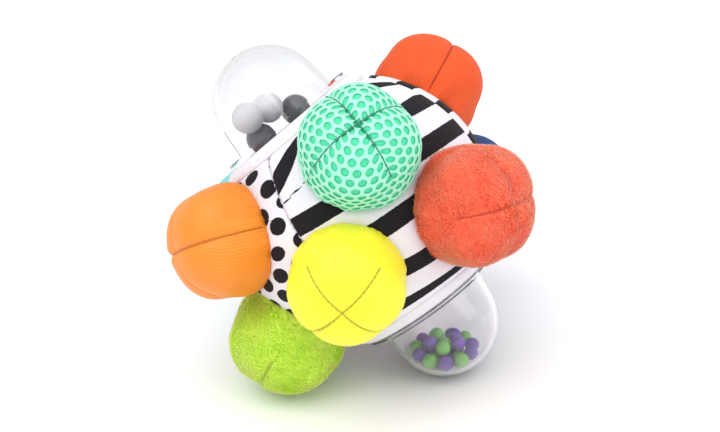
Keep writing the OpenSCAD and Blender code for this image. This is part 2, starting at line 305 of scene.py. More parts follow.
# The net starts a little small, stands apart from its neighbours, and no point may swell further than the limit
START_SIZE, APART, SWELL_LIMIT = 0.99, 60, 1.0
sim_axis = np.linspace(-1, 1, SIM_LINES)
way, azimuth = cloth_grid(sim_axis)
full = bump_form(way, azimuth)
FOOT = np.array((0, 0, BASE_H))
start = (full - FOOT) * START_SIZE + FOOT
on_dart = (np.minimum(np.abs(sim_axis[:, None]), np.abs(sim_axis[None, :])) < 1e-6) & (way < DART_END)
held = (way > 0.9) | on_dart
chance = np.random.default_rng(7)
stuffed, starts = {}, []
# How far each bump is filled out, against the common form; the firm ones stand fuller
FULLNESS = {"mint": 0.955, "yellow": 0.945, "orange": 0.985}
for name in PLACES:
    waves = chance.uniform(0, tau, (3, 2))
    uneven = sum(
        np.cos((k + 2) * azimuth + waves[k, 0]) * np.sin(6 * way + waves[k, 1]) for k in range(3)
    ) * ~held
    shoulder = chance.uniform(0.7, 1.3) * np.sin(2 * azimuth) ** 2 * bell(way - 0.6, 0.16)
    # Each point moves out from the middle of the bump
    grown = start + (full - (0, 0, 60)) / 30.0 * (0.4 * uneven + 1.1 * shoulder)[..., None]
    part = 1 - (1 - FULLNESS.get(name, 1.0)) * np.clip((SEAM - way) / 0.2, 0, 1)[..., None]
    starts.append((grown - FOOT) * part + FOOT)

mesh = bpy.data.meshes.new("stuffing_run")
spread = [points + (APART * k, 0, 0) for k, points in enumerate(starts)]
mesh.from_pydata(
    (np.concatenate([p.reshape(-1, 3) for p in spread]) * SIM_SCALE).tolist(), [],
    np.concatenate([grid_faces(SIM_LINES, SIM_LINES, k * SIM_LINES**2) for k in range(len(PLACES))]).tolist(),
)
run = new_object("stuffing_run", mesh)
group = run.vertex_groups.new(name="held")
fixed = np.flatnonzero(np.tile(held.ravel(), len(PLACES)))
group.add(fixed.tolist(), 1.0, "REPLACE")
cloth = run.modifiers.new("Cloth", "CLOTH")
cloth.settings.quality = 5
cloth.settings.use_pressure = True
cloth.settings.uniform_pressure_force = 4.0
cloth.settings.vertex_group_mass = "held"
cloth.settings.tension_stiffness = cloth.settings.compression_stiffness = 25.0
cloth.settings.bending_stiffness = 0.6
cloth.settings.effector_weights.gravity = 0.0
cloth.collision_settings.use_collision = False
cloth.point_cache.frame_start, cloth.point_cache.frame_end = 1, SIM_FRAMES
for step in range(1, SIM_FRAMES + 1):
    bpy.context.scene.frame_set(step)
shape = run.evaluated_get(bpy.context.evaluated_depsgraph_get()).to_mesh()
moved = np.empty(len(shape.vertices) * 3)
shape.vertices.foreach_get("co", moved)
moved = moved.reshape(len(PLACES), SIM_LINES, SIM_LINES, 3) / SIM_SCALE
for k, name in enumerate(PLACES):
    shift = moved[k] - spread[k]
    far = np.linalg.norm(shift, axis=-1, keepdims=True)
    stuffed[name] = starts[k] + shift * np.minimum(1.0, SWELL_LIMIT / np.maximum(far, 1e-9))
    print(name, "swelled by up to", far.max().round(2), "mm")
bpy.data.objects.remove(run)
bpy.data.meshes.remove(mesh)
bpy.context.scene.frame_set(1)

# %% [markdown]
# ## From the stuffed net to fine cloth
# The coarse net carries the fullness. A finer net is drawn through it with a smooth spline,
# with its lines crowded along the darts, where the thread pulls a narrow groove and small puckers. The cloth's own
# lengths go with it as a UV map: along the tube and round it, so that ribs run straight and are cut off at the darts,
# as on the real bump.


# %% Fine cloth
def spline_weights(knots, points):
    """Rows of Catmull-Rom weights that carry values at even knots to the points between them."""
    step = knots[1] - knots[0]
    place = np.clip((points - knots[0]) / step, 0, len(knots) - 1.000001)
    left = place.astype(int)
    t = place - left
    weights = np.zeros((len(points), len(knots)))
    parts = (
        -0.5 * t + t**2 - 0.5 * t**3, 1 - 2.5 * t**2 + 1.5 * t**3,
        0.5 * t + 2 * t**2 - 1.5 * t**3, -0.5 * t**2 + 0.5 * t**3,
    )
    for offset, part in zip((-1, 0, 1, 2), parts):
        np.add.at(weights, (np.arange(len(points)), np.clip(left + offset, 0, len(knots) - 1)), part)
    return weights


FINE = 121
even = np.linspace(-1, 1, FINE)
crowded = np.sign(even) * (0.3 * np.abs(even) + 0.7 * even**2)
fine_way, fine_azimuth = cloth_grid(crowded)
draw = spline_weights(sim_axis, crowded)
# Millimetres of cloth from crown to foot, and between two stitches of a dart
CLOTH_LENGTH, STITCH = 48.2, 2.6
# Which quarter's dart runs on to the foot as the seam that closes the tube
CLOSING = {"orange": 0, "red": 2}


def normals(points):
    """Unit normals of a net of points, away from the middle of the ball."""
    across = np.cross(np.gradient(points, axis=0), np.gradient(points, axis=1))
    across /= np.maximum(np.linalg.norm(across, axis=-1, keepdims=True), 1e-12)
    return across * np.sign((across * points).sum())


def sewn(points, closing):
    """The fine cloth with its darts, its closing seam and the puckers along them drawn in."""
    reach = np.hypot(points[..., 0], points[..., 1])
    turns = np.round(fine_azimuth / (pi / 2))
    quarter = turns.astype(int) % 4
    # Depths and widths from here on are in millimetres
    off = reach * np.abs(fine_azimuth - turns * pi / 2)
    along = fine_way * CLOTH_LENGTH
    fade = np.clip((DART_END - fine_way) / 0.04, 0, 1)
    fade = np.where(quarter == closing, np.clip((SEAM - fine_way) / 0.02, 0, 1), fade)
    groove = -0.55 * bell(off, 0.45) * fade
    pull = -0.25 * bell(off, 2.0) * fade
    beat = np.cos(tau * along / STITCH)
    pucker = 0.1 * beat * bell(off, 1.8) * fade * (off > 0.05)
    hem = bell(fine_way - 0.93, 0.06)
    gather = 0.14 * np.cos(40 * fine_azimuth + 1.7 * np.sin(3 * fine_azimuth)) * hem
    # Soft folds start at the foot, where the tube is gathered into the seam
    near_foot = bell(fine_way - 0.86, 0.12)
    fold = 0.3 * np.cos(11 * fine_azimuth + 2.3 * np.sin(2 * fine_azimuth) + 6 * fine_way) * near_foot
    # The dark line along each dart and the closing seam: partly its thread, partly painted shade of its groove
    thread = bell(off, 0.3) * fade * (0.82 + 0.18 * beat)
    # A bar tack locks the thread at the end of each dart
    tack = bell(off, 0.6) * bell(along - (DART_END - 0.02) * CLOTH_LENGTH, 0.8)
    thread = np.maximum(thread, tack * (quarter != closing))
    return points + normals(points) * (groove + pull + pucker + gather + fold)[..., None], thread


def cloth_uv(faces):
    """UV for every corner: the length round the tube and the length along it, in units of 100 mm."""
    flat_way, flat_azimuth = fine_way.ravel()[faces], fine_azimuth.ravel()[faces]
    x, y = (flat_way * np.cos(flat_azimuth)).mean(1), (flat_way * np.sin(flat_azimuth)).mean(1)
    middle = (np.floor(np.arctan2(y, x) / (pi / 2)) + 0.5) * pi / 2
    turned = (flat_azimuth - middle[:, None] + pi) % tau - pi
    ideal = bump_form(flat_way, np.full_like(flat_way, pi / 4))
    round_r = np.where(flat_way > SHOULDER, BUMP_R, np.hypot(ideal[..., 0], ideal[..., 1]))
    return np.stack([round_r * turned + BUMP_R * middle[:, None], flat_way * CLOTH_LENGTH], -1) / 100.0


def new_piece(name, points, faces, material):
    """A mesh of the frame from points of the upright ball, in millimetres."""
    mesh = bpy.data.meshes.new(name)
    mesh.from_pydata(to_frame(points).tolist(), [], [list(f) for f in faces])
    mesh.materials.append(material)
    mesh.shade_smooth()
    mesh.update()
    return new_object(name, mesh)


def face_out(piece, face):
    """Turns a piece's faces over if the given one looks towards the middle of the ball."""
    sample = piece.data.polygons[face]
    if sample.normal.dot(sample.center - Vector(MIDDLE)) < 0:
        piece.data.flip_normals()


def stand_in(piece, nodes):
    """Puts a soft piece on the ball, in place of CAD nodes."""
    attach(piece, "ball")
    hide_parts(*nodes)


# %% [markdown]
# ## The cloths of the bumps
# Each bump has a cloth of its own, because a baby learns by touch. They differ in colour, in the relief of
# the knit and in sheen: fine ribs, satin, plush and an open mesh. All read the UV map in millimetres. The ribs are
# drawn a little coarser than the finest knits, because finer ones would not show in the picture.


# %% Cloth finishes
# How far each dye varies over a bump
MOTTLING = 0.35


def knit(name, dark, light, rib, rib_height, grain_height, roughness, sheen, seam, along=False):
    """A knitted cloth: ribs of a pitch in millimetres along or round the tube, with a grain of single threads, and
    painted shade in the hollows between them.
    """
    material, tree = blank(name)
    uv = add(tree, "ShaderNodeUVMap", uv_map="cloth")
    on_cloth = add(tree, VECTORS, {0: uv, "Scale": 100.0}, "SCALE")
    axes = add(tree, "ShaderNodeSeparateXYZ", [on_cloth]).outputs
    turns = add(tree, MATH, [axes["Y" if along else "X"], tau / rib], "MULTIPLY")
    wave = add(tree, MATH, [turns], "SINE")
    threads = add(tree, NOISE, {"Vector": on_cloth, "Scale": 1.4, "Detail": 3.0, "Roughness": 0.6})
    patches = add(tree, NOISE, {"Vector": on_cloth, "Scale": 0.09, "Detail": 2.0})
    rib_part = add(tree, MATH, [wave, rib_height], "MULTIPLY")
    height = add(tree, MATH, [threads, grain_height, rib_part], "MULTIPLY_ADD")
    tone = add(tree, MATH, [patches, MOTTLING, 0.5 - MOTTLING / 2], "MULTIPLY_ADD")
    # Painted shade: the colour is lighter on the ribs and threads and darker in the hollows between them
    tone = add(tree, MATH, [height, 1.6, tone], "MULTIPLY_ADD", use_clamp=True)
    colour = add(tree, MIX, {"Factor": tone, 6: linear(dark), 7: linear(light)}, data_type="RGBA")
    # The dart line darkens the cloth: partly its thread, partly painted shade of the dart's groove
    thread = add(tree, "ShaderNodeAttribute", attribute_name="thread").outputs["Fac"]
    thread_and_groove_shade = add(tree, MATH, [thread, 0.85], "MULTIPLY")
    dye_and_painted_shade = add(tree, MIX, {"Factor": thread_and_groove_shade, 6: colour.outputs[2], 7: linear(seam)}, data_type="RGBA")
    shade(tree, {
        "Base Color": dye_and_painted_shade.outputs[2], "Roughness": roughness, "Sheen Weight": sheen, "Sheen Roughness": 0.4,
    }, (height, 0.6, 0.0006))
    return material


# The last colour of each cloth is its dart line: partly thread, partly painted shade of the groove
CLOTHS = {
    "mint": knit("mint_mesh_backing", "#36C08E", "#54D8A8", 2.4, 0.05, 0.15, 0.8, 0.1, "#1E8F68"),
    "red": knit("red_ribbed_knit", "#CC380C", "#E65C1C", 1.3, 0.1, 0.12, 0.8, 0.05, "#6E1208"),
    "violet": knit("violet_plush", "#6A4A9C", "#8D70BE", 2.2, 0.02, 0.35, 0.9, 0.5, "#3C2860"),
    "turquoise": knit("turquoise_satin", "#66C3C6", "#7ED4D4", 0.9, 0.06, 0.08, 0.5, 0.15, "#2F8287"),
    "orange": knit("orange_ribbed_satin", "#E2700E", "#F29426", 1.3, 0.09, 0.08, 0.5, 0.05, "#8A4A10"),
    "coral": knit("coral_plush", "#F2452A", "#FF7A58", 2.0, 0.02, 0.45, 0.9, 0.3, "#8E1D10"),
    "blue": knit("blue_ribbed_knit", "#0A2F66", "#15498C", 1.6, 0.24, 0.12, 0.75, 0.05, "#06182F", along=True),
    "pink": knit("pink_ribbed_knit", "#D9568C", "#EE80AC", 1.8, 0.2, 0.12, 0.75, 0.2, "#7E2A4C"),
    "lime": knit("lime_plush", "#AEE030", "#D8F65C", 2.0, 0.02, 0.4, 0.9, 0.3, "#56801A"),
    "yellow": knit("yellow_ribbed_satin", "#EBDC12", "#F7F438", 1.3, 0.08, 0.08, 0.5, 0.05, "#6A5C0C"),
}
print("cloths:", [m.name for m in CLOTHS.values()])

# %% Make the bumps
bump_faces = grid_faces(FINE, FINE)
number = np.arange(FINE * FINE).reshape(FINE, FINE)
edge = np.concatenate([number[0], number[1:, -1], number[-1, -2::-1], number[-2:0:-1, 0]])
# The thread of the mint net's darts lies this far above the cloth below the net
ABOVE_NET = 0.95
bumps = {}
for name, place in PLACES.items():
    points = np.einsum("ia,abk,jb->ijk", draw, stuffed[name], draw)
    points, thread = sewn(points, CLOSING.get(name, -1))
    if name == "mint":
        # The net hides the cloth, so the lines of its darts are kept to be sewn on top of it
        on_net = (points + ABOVE_NET * normals(points)) @ at_place(place).T
        darted, mid = fine_way < DART_END, FINE // 2
        net_darts = [on_net[mid][darted[mid]], on_net[:, mid][darted[:, mid]]]
    points = points.reshape(-1, 3)
    foot = points[edge].mean(0) - (0, 0, 0.3)
    # A fan of triangles closes the foot, inside the ball
    faces = bump_faces.tolist() + [[int(b), int(a), FINE * FINE] for a, b in zip(edge, np.roll(edge, -1))]
    piece = new_piece(name + "_stuffed_bump", np.vstack([points, foot]) @ at_place(place).T, faces, CLOTHS[name])
    mesh = piece.data
    uv = mesh.uv_layers.new(name="cloth").uv
    corners = np.zeros((len(mesh.loops), 2))
    corners[: len(bump_faces) * 4] = cloth_uv(bump_faces).reshape(-1, 2)
    uv.foreach_set("vector", corners.ravel())
    mark = mesh.attributes.new("thread", "FLOAT", "POINT")
    mark.data.foreach_set("value", np.append(thread.ravel(), 0.0).astype(np.float32))
    # The two bumps that the ball stands on are pressed flat by the floor
    for point in mesh.vertices:
        point.co.z = max(point.co.z, 0.0)
    # The face at the crown
    face_out(piece, (FINE // 2) * (FINE - 1) + FINE // 2)
    stand_in(piece, (name + "_bump", name + "_filling"))
    bumps[name] = piece
print("bumps:", len(bumps), "faces each:", len(piece.data.polygons))

# %% [markdown]
# ## Growing what repeats
# Net, pile and stitches repeat one small shape over a cloth or along a seam. Geometry Nodes place
# them: each tree takes a mesh and named values, and what it makes is kept as a plain mesh, so it moves
# with its body like any other piece.


# %% Geometry Nodes helpers
def new_tree(name, floats, whole=()):
    """A node tree that takes a mesh, a material and named numbers, and the sockets of these inputs."""
    tree = bpy.data.node_groups.new(name, "GeometryNodeTree")
    numbers = {**dict.fromkeys(floats, "Float"), **dict.fromkeys(whole, "Int")}
    for label, kind in {"Mesh": "Geometry", "Material": "Material", **numbers}.items():
        tree.interface.new_socket(label, in_out="INPUT", socket_type="NodeSocket" + kind)
    tree.interface.new_socket("Mesh", in_out="OUTPUT", socket_type="NodeSocketGeometry")
    return tree, add(tree, "NodeGroupInput").outputs


def finish_tree(tree, mesh, given):
    """Ends a tree: plain mesh, shading and material."""
    plain = add(tree, "GeometryNodeRealizeInstances", [mesh])
    shaded = add(tree, "GeometryNodeSetShadeSmooth", [plain])
    dressed = add(tree, "GeometryNodeSetMaterial", {"Geometry": shaded, "Material": given["Material"]})
    add(tree, "NodeGroupOutput", [dressed])


def grow(name, mesh, tree, values):
    """Runs a tree on a copy of a mesh and keeps what it makes, as a piece of the ball."""
    piece = new_object(name, mesh.copy())
    maker = piece.modifiers.new(tree.name, "NODES")
    maker.node_group = tree
    for item in tree.interface.items_tree:
        if item.in_out == "INPUT" and item.name in values:
            maker[item.identifier] = values[item.name]
    bpy.context.view_layer.update()
    made = bpy.data.meshes.new_from_object(piece.evaluated_get(bpy.context.evaluated_depsgraph_get()))
    piece.modifiers.remove(maker)
    piece.data = made
    made.name = name
    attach(piece, "ball")
    print(name, "faces:", len(made.polygons))


# %% [markdown]
# ### The mint net
# Spacer mesh is knitted as a net of staggered oval holes. Flat, it is a field of hexagons: the dual of a grid of
# triangles. Each hexagon loses its middle, the rest gets a thickness, and one subdivision makes the holes round. Then
# every point of the flat net is looked up on the bump by its UV: the length round the tube and the length along it.
# In the crown the net is gathered at the darts, as the cloth is.

# %% Net
net_plastic = mottled("mint_polyester_net", {"Scale": 1.6, "Detail": 3.0}, "#7CDDB8", "#B6F2DA", {
    "Roughness": 0.6, "Sheen Weight": 0.15,
}, (0.5, 0.0004))
tree, given = new_tree("open_net", ("Round", "Length", "Opening", "Thickness"), ("Columns", "Rows"))
here = add(tree, "GeometryNodeInputPosition")
spot = add(tree, "ShaderNodeSeparateXYZ", [here]).outputs
pitch = add(tree, MATH, [given["Round"], given["Columns"]], "DIVIDE")
row_pitch = add(tree, MATH, [given["Length"], given["Rows"]], "DIVIDE")
wide = add(tree, MATH, [pitch, 2.0, given["Round"]], "MULTIPLY_ADD")
across = add(tree, MATH, [given["Columns"], 3.0], "ADD")
down = add(tree, MATH, [given["Rows"], 1.0], "ADD")
grid = add(tree, "GeometryNodeMeshGrid", {
    "Size X": wide, "Size Y": given["Length"], "Vertices X": across, "Vertices Y": down,
})
# Every other row steps aside by half a hole
half = add(tree, MATH, [pitch, 0.5], "MULTIPLY")
sidestep = spot["Y"]
for by, how in ((row_pitch, "DIVIDE"), (0.0, "ROUND"), (2.0, "FLOORED_MODULO"), (half, "MULTIPLY")):
    sidestep = add(tree, MATH, [sidestep, by], how)
shift = add(tree, "ShaderNodeCombineXYZ", {"X": sidestep})
stagger = add(tree, "GeometryNodeSetPosition", {"Geometry": grid, "Offset": shift})
triangles = add(tree, "GeometryNodeTriangulate", [stagger], quad_method="SHORTEST_DIAGONAL")
cells = add(tree, "GeometryNodeDualMesh", [triangles])
inset = add(tree, "GeometryNodeExtrudeMesh", {"Mesh": cells, "Offset Scale": 0.0})
middles = inset.outputs["Top"]
shrunk = add(tree, "GeometryNodeScaleElements", {
    "Geometry": inset, "Selection": middles, "Scale": given["Opening"],
}, domain="FACE")
flat = add(tree, "GeometryNodeDeleteGeometry", {"Geometry": shrunk, "Selection": middles}, domain="FACE")
top = add(tree, "GeometryNodeExtrudeMesh", {
    "Mesh": flat, "Offset": (0, 0, 1), "Offset Scale": given["Thickness"], "Individual": False,
})
under = add(tree, "GeometryNodeFlipFaces", [flat])
both = add(tree, "GeometryNodeJoinGeometry", [top])
tree.links.new(under.outputs[0], both.inputs[0])
solid = add(tree, "GeometryNodeMergeByDistance", {"Geometry": both, "Distance": 0.01})
rounded = add(tree, "GeometryNodeSubdivisionSurface", {"Mesh": solid, "Level": 1})
# The place on the cloth: how far round the tube, in which quarter, and how far along it
half_round, less, quarter = (
    add(tree, MATH, [given["Round"], share], "MULTIPLY") for share in (0.5, -0.5, 0.25)
)
around = add(tree, MATH, [spot["X"], half_round, less], "WRAP")
middle = around
for by, how in ((quarter, "DIVIDE"), (0.0, "FLOOR"), (0.5, "ADD"), (quarter, "MULTIPLY")):
    middle = add(tree, MATH, [middle, by], how)
length = add(tree, MATH, [given["Length"], 0.5, spot["Y"]], "MULTIPLY_ADD")
# The half width of a quarter of the cloth at this length, from the form of the lobes
crown_angle = -math.asin(LOBE_OUT / LOBE_R)
per_mm = (pi / 2 - crown_angle) / (SHOULDER * CLOTH_LENGTH)
arc = add(tree, MATH, [length, per_mm, crown_angle], "MULTIPLY_ADD")
arc = add(tree, MATH, [arc, pi / 2], "MINIMUM")
sine = add(tree, MATH, [arc], "SINE")
reach = add(tree, MATH, [sine, LOBE_R, LOBE_OUT], "MULTIPLY_ADD")
most = add(tree, MATH, [reach, pi / 4 * 0.995], "MULTIPLY")
least = add(tree, MATH, [most, -1.0], "MULTIPLY")
aside = around
for by, how in ((middle, "SUBTRACT"), (most, "MINIMUM"), (least, "MAXIMUM"), (middle, "ADD")):
    aside = add(tree, MATH, [aside, by], how)
place = add(tree, "ShaderNodeCombineXYZ", {"X": aside, "Y": length})
look = add(tree, VECTORS, {0: place, "Scale": 0.01}, "SCALE")
cloth_map = add(tree, "GeometryNodeInputNamedAttribute", {"Name": "cloth"}, data_type="FLOAT_VECTOR")
found, facing = (
    add(tree, "GeometryNodeSampleUVSurface", {
        "Mesh": given["Mesh"], "Value": value, "UV Map": cloth_map, "Sample UV": look,
    }, data_type="FLOAT_VECTOR")
    for value in (here, add(tree, "GeometryNodeInputNormal"))
)
# The net lies a tenth of a millimetre off the cloth, and its thickness goes from millimetres to metres
lift = add(tree, MATH, [spot["Z"], 0.001, 0.0001], "MULTIPLY_ADD")
raised = add(tree, VECTORS, {0: facing, "Scale": lift}, "SCALE")
put = add(tree, VECTORS, [found, raised], "ADD")
wrapped = add(tree, "GeometryNodeSetPosition", {
    "Geometry": rounded, "Selection": found.outputs["Is Valid"], "Position": put,
})
# A point that found no cloth is still where the flat net was, metres away, and is dropped
away = add(tree, VECTORS, [here], "LENGTH").outputs["Value"]
stray = add(tree, "FunctionNodeCompare", [away, 0.5], "GREATER_THAN")
trimmed = add(tree, "GeometryNodeDeleteGeometry", {"Geometry": wrapped, "Selection": stray})
joined = add(tree, "GeometryNodeMergeByDistance", {"Geometry": trimmed, "Distance": 0.00004})
finish_tree(tree, joined, given)
grow("mint_net", bumps["mint"].data, tree, {
    "Columns": 32, "Rows": 12, "Round": tau * BUMP_R, "Length": SEAM * CLOTH_LENGTH - 0.5,
    "Opening": 0.74, "Thickness": 0.6, "Material": net_plastic,
})

# %% [markdown]
# ### Plush pile
# Plush is a knit with short loose fibres that lie in swirls. Each tuft here is a thin cone, larger than a real fibre
# so that it shows. Its lean follows a slow noise, which makes the swirls, and none grows where the floor presses.

# %% Pile
# Metres from the middle of the ball, and above the floor, from which the cloth is free
UNCOVERED, UNPRESSED = 0.0545, 0.002
tree, given = new_tree("short_pile", ("Density", "Length", "Width"), ("Seed",))
where = add(tree, "GeometryNodeInputPosition")
away = add(tree, VECTORS, [where, tuple(MIDDLE)], "DISTANCE").outputs["Value"]
height = add(tree, "ShaderNodeSeparateXYZ", [where]).outputs["Z"]
outside, clear_of_floor = (
    add(tree, "FunctionNodeCompare", [value, least], "GREATER_THAN")
    for value, least in ((away, UNCOVERED), (height, UNPRESSED))
)
chosen = add(tree, "FunctionNodeBooleanMath", [outside, clear_of_floor], "AND")
roots = add(tree, "GeometryNodeDistributePointsOnFaces", {
    "Mesh": given["Mesh"], "Selection": chosen, "Density": given["Density"], "Seed": given["Seed"],
})
swirl = add(tree, NOISE, {"Vector": where, "Scale": 90.0, "Detail": 1.0}).outputs["Color"]
lean = add(tree, VECTORS, [swirl, (0.5, 0.5, 0.5)], "SUBTRACT")
lean = add(tree, VECTORS, {0: lean, "Scale": 3.0}, "SCALE")
loose = add(tree, "FunctionNodeRandomValue", {
    0: (-0.35, -0.35, -0.35), 1: (0.35, 0.35, 0.35), "Seed": given["Seed"],
}, data_type="FLOAT_VECTOR")
lean = add(tree, VECTORS, [lean, loose], "ADD")
aim = add(tree, VECTORS, [roots.outputs["Normal"], lean], "ADD")
stand = add(tree, "FunctionNodeAlignRotationToVector", {"Vector": aim}, axis="Z")
tuft = add(tree, "GeometryNodeMeshCone", {
    "Vertices": 3, "Radius Bottom": given["Width"], "Depth": given["Length"],
})
size = add(tree, "FunctionNodeRandomValue", {2: 0.7, 3: 1.2, "Seed": given["Seed"]}).outputs[1]
tufts = add(tree, "GeometryNodeInstanceOnPoints", {
    "Points": roots, "Instance": tuft, "Rotation": stand, "Scale": size,
})
finish_tree(tree, tufts, given)


def plush(name, dark, light):
    """The fibres of a plush: darker in some patches and lighter in others, as they catch the light."""
    material, tree = blank(name)
    patches = add(tree, NOISE, {"Vector": in_mm(tree), "Scale": 0.11, "Detail": 3.0, "Distortion": 0.6})
    tone = add(tree, "ShaderNodeMapRange", {"Value": patches, "From Min": 0.3, "From Max": 0.7})
    colour = add(tree, MIX, {"Factor": tone, 6: linear(dark), 7: linear(light)}, data_type="RGBA")
    # Polyester fibres this fine let light through to those behind them, over about their own width
    shade(tree, {
        "Base Color": colour.outputs[2], "Roughness": 0.7, "Specular IOR Level": 0.1, "Sheen Weight": 0.1,
        "Sheen Roughness": 0.4, "Sheen Tint": linear(light), "Subsurface Weight": 1.0,
        "Subsurface Radius": (1.0, 1.0, 1.0), "Subsurface Scale": 0.0003,
    })
    return material


for name, dark, light, seed in (
    ("coral", "#FF4624", "#FF8058", 3), ("lime", "#B4F01C", "#E0FF54", 4), ("violet", "#8A68C0", "#B49AE0", 5),
):
    grow(name + "_pile", bumps[name].data, tree, {
        "Density": 5.0e6, "Length": 0.001, "Width": 0.00017, "Seed": seed,
        "Material": plush(name + "_plush_fibre", dark, light),
    })

# %% [markdown]
# ## The printed cover
# The cover is sewn from four panels that run from dome to dome. Two carry bold waves of black and white, and two carry
# black ovals on white. A print is flat, so it belongs in the material. What the material reads is one number at every
# point of the cloth: the distance to the nearest printed edge, below zero inside a black shape. It changes smoothly,
# so the edge stays sharp between the points.

# %% The prints
# Each wave is a row of longitude, latitude of its middle and half its width, in degrees
FRONT_WAVES = [
    [(-45, 47, 1.0), (-30, 48.3, 0.7), (-10, 50, 0.5), (25, 51, 0.4)],
    [(-43, 31.0, 4.3), (-36, 34.5, 4.8), (-28, 38.8, 4.3), (-20, 43.3, 2.6), (-8, 46.5, 2.0),
     (10, 48, 2.6), (30, 46, 3.6), (42, 43.5, 3.4), (52, 38.5, 2.2), (58, 36, 1.0)],
    [(-44, 22.4, 0.25), (-38, 24, 0.5), (-24, 26.2, 0.45), (-10, 26.8, 1.2), (10, 26.5, 3.0),
     (36, 24.2, 3.9), (48, 23.3, 4.2), (58, 21.5, 3.4)],
    [(-44, 13.2, 4.1), (-15, 11, 4.0), (20, 8, 3.9), (50, 5.8, 3.8), (60, 5, 3.7)],
    [(-44, -5, 4.2), (-12, -7, 4.1), (8, -7.8, 4.0), (40, -10, 3.8), (60, -11.5, 3.6)],
    [(-44, -23, 3.6), (-15, -26.3, 3.8), (3, -28.8, 3.8), (30, -31.5, 3.4), (60, -34, 3)],
    [(-44, -39.5, 3.2), (-30, -41, 3.0), (-5, -43, 2.2), (15, -44.3, 1.8), (40, -45.5, 1.4), (60, -46, 1)],
]
RIGHT_WAVES = [
    [(56, 48, 1.5), (100, 46, 2.2), (151, 50, 1.2)],
    [(56, 34, 3.8), (75, 31, 4.5), (105, 38, 4), (151, 34, 3)],
    [(56, 15.5, 3.6), (75, 14, 4), (105, 17, 4), (151, 14, 3.5)],
    [(56, -4, 3.8), (80, -3, 4), (115, -7, 4.2), (151, -2, 3.5)],
    [(56, -21, 4), (95, -24, 4), (151, -20, 3.6)],
    [(56, -38, 3.2), (110, -41, 3), (151, -37, 3)],
]
# Millimetres of cloth to a degree
DEGREE = BALL_R * pi / 180


def wave_print(latitude, longitude, waves):
    """The distance to the nearest of the waves, in millimetres."""
    away = []
    for wave in waves:
        knots, middle, half = np.array(wave).T
        off = np.abs(latitude - np.interp(longitude, knots, middle))
        away.append(off - np.interp(longitude, knots, half))
    return np.min(away, axis=0) * DEGREE


def oval_print(latitude, longitude, first, last, seed):
    """The distance to the nearest oval: staggered rows of them, each a little off its place and of its own size."""
    chance = np.random.default_rng(seed)
    away = np.full(latitude.shape, 9.0)
    for row in range(-1, 12):
        row_lat = 41.7 - 8.35 * row
        gap = 12.8 / math.cos(math.radians(row_lat))
        for k in range(int((last - first) / gap) + 3):
            lat = row_lat + chance.uniform(-1.0, 1.0)
            lon = last - 13.0 - gap * (k - 1 + 0.5 * (row % 2)) + chance.uniform(-1.5, 1.5)
            wide, tall = chance.uniform(3.6, 4.6), chance.uniform(2.7, 3.5)
            x = (longitude - lon) * np.cos(np.radians(latitude)) * DEGREE / wide
            y = (latitude - lat) * DEGREE / tall
            away = np.minimum(away, (np.hypot(x, y) - 1) * 3.0)
    return away


# The first and last longitude of each panel, and its waves or the seed of its ovals
PANELS = {
    "striped_panel_front": (-41, 57, FRONT_WAVES), "striped_panel_right": (57, 150, RIGHT_WAVES),
    "dotted_panel_back": (150, 240, 3), "dotted_panel_left": (240, 319, 5),
}

# %% Printed cotton
printed_cotton, tree = blank("printed_cotton")
printed = add(tree, "ShaderNodeAttribute", attribute_name="print").outputs["Fac"]
bleed = add(tree, NOISE, {"Vector": in_mm(tree), "Scale": 0.9, "Detail": 2.0})
edge_mm = add(tree, MATH, [bleed, 0.5, printed], "MULTIPLY_ADD")
ink = add(tree, "ShaderNodeMapRange", {"Value": edge_mm, "From Min": 0.15, "From Max": 0.4})
# Threads of plain cotton lie about 0.3 mm apart; drawn at 0.8 mm so that they show
threads, black = mottle(tree, {"Scale": 1.3, "Detail": 3.0}, "#100D12", "#211D23")
white = mottle(tree, {"Scale": 0.05, "Detail": 2.0}, "#D6D3DD", "#E9E6EC")[1]
cotton = add(tree, MIX, {"Factor": ink, 6: black, 7: white}, data_type="RGBA")
shade(tree, {
    "Base Color": cotton.outputs[2], "Specular IOR Level": 0.2, "Roughness": 0.85, "Sheen Weight": 0.03,
}, (threads, 0.25, 0.0003))
print("cover material:", printed_cotton.name)

# %% Make the cover
# The axis and the angle of each round opening, a little smaller than what fills it
holes = [(at_place(p) @ (0, 0, 1), math.asin(HOLE_R / BALL_R) - 0.004) for p in PLACES.values()]
holes += [(at_place(p) @ (0, 0, 1), math.asin(STRIP_R / BALL_R) - 0.012) for p in DOMES.values()]
# A direction along none of their axes, to count the gathers from
ASKEW = np.array((0.3, 0.5, 0.8))


